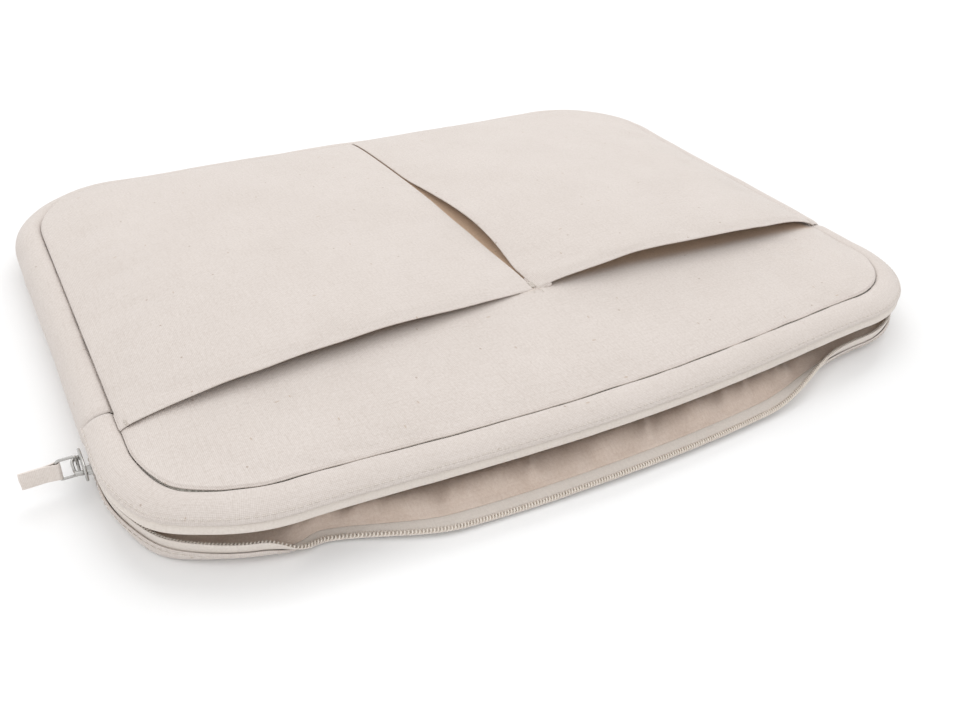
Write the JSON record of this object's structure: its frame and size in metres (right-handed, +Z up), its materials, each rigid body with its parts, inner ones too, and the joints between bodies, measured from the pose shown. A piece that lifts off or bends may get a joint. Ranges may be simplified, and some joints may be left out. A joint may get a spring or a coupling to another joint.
{
  "type": "laptop sleeve",
  "caption": "Padded cotton canvas laptop sleeve with a zipped mouth along one long side and open pockets on its front panel.",
  "frame": {"origin": "centre of the back panel's flat underside, on the surface the sleeve lies on", "axes": "+X along the long side, +Y towards the closed rear edge, +Z up through the front panel"},
  "size_m": [0.4197, 0.3124, 0.0353],
  "materials": {
    "canvas": "unbleached cotton canvas, plain weave, matt",
    "lining": "thin cream cotton lining, matt",
    "foam": "soft sheet padding",
    "zip_tape": "woven zip tape, matt",
    "zip_coil": "moulded coil",
    "slider_metal": "polished nickel",
    "thread": "sewing thread"
  },
  "bodies": {
    "sleeve_body": {"back_panel": "canvas", "back_padding": "foam", "back_lining": "lining", "lower_seam_binding": "zip_tape", "rear_gusset": "canvas", "rear_gusset_lining": "lining", "upper_seam_binding": "zip_tape", "lower_zip_strip": "canvas", "lower_zip_tape": "zip_tape", "lower_zip_coil": "zip_coil", "lower_zip_facing": "lining", "upper_strip_left_end": "canvas", "upper_tape_left_end": "zip_tape", "upper_coil_left_end": "zip_coil", "upper_strip_right_end": "canvas", "upper_tape_right_end": "zip_tape", "upper_coil_right_end": "zip_coil", "front_panel": "canvas", "front_padding": "foam", "front_lining": "lining", "left_pocket_panel": "canvas", "right_pocket_panel": "canvas", "centre_bartack": "thread", "left_bartack": "thread", "right_bartack": "thread"},
    "upper_lip": {"front_panel_lip": "canvas", "front_padding_lip": "foam", "front_lining_lip": "lining", "upper_zip_strip": "canvas", "upper_zip_tape": "zip_tape", "upper_zip_coil": "zip_coil", "upper_zip_facing": "lining", "upper_seam_binding_lip": "zip_tape"},
    "zip_slider": {"slider_body": "slider_metal"},
    "pull_link": {"pull_link": "slider_metal"},
    "pull_tab": {"pull_tab": "canvas"}
  },
  "joints": [
    {"name": "mouth_open", "type": "hinge", "parent": "sleeve_body", "child": "upper_lip", "pos_m": [0, -0.09, 0.025], "axis": [-1, 0, 0], "range_deg": [-4.3, 50], "stiffness_Nm_per_rad": 0.5, "springref_deg": 3.44},
    {"name": "slider_travel", "type": "hinge", "parent": "sleeve_body", "child": "zip_slider", "pos_m": [-0.1382, -0.0885, 0.011], "axis": [0, 0, 1], "range_deg": [0, 90]},
    {"name": "link_swing", "type": "hinge", "parent": "zip_slider", "child": "pull_link", "pos_m": [-0.2015, -0.079, 0.011], "axis": [0, 0, 1], "range_deg": [-70, 70]},
    {"name": "tab_swing", "type": "hinge", "parent": "pull_link", "child": "pull_tab", "pos_m": [-0.2085, -0.079, 0.011], "axis": [0, 0, -1], "range_deg": [-30, 30]}
  ]
}
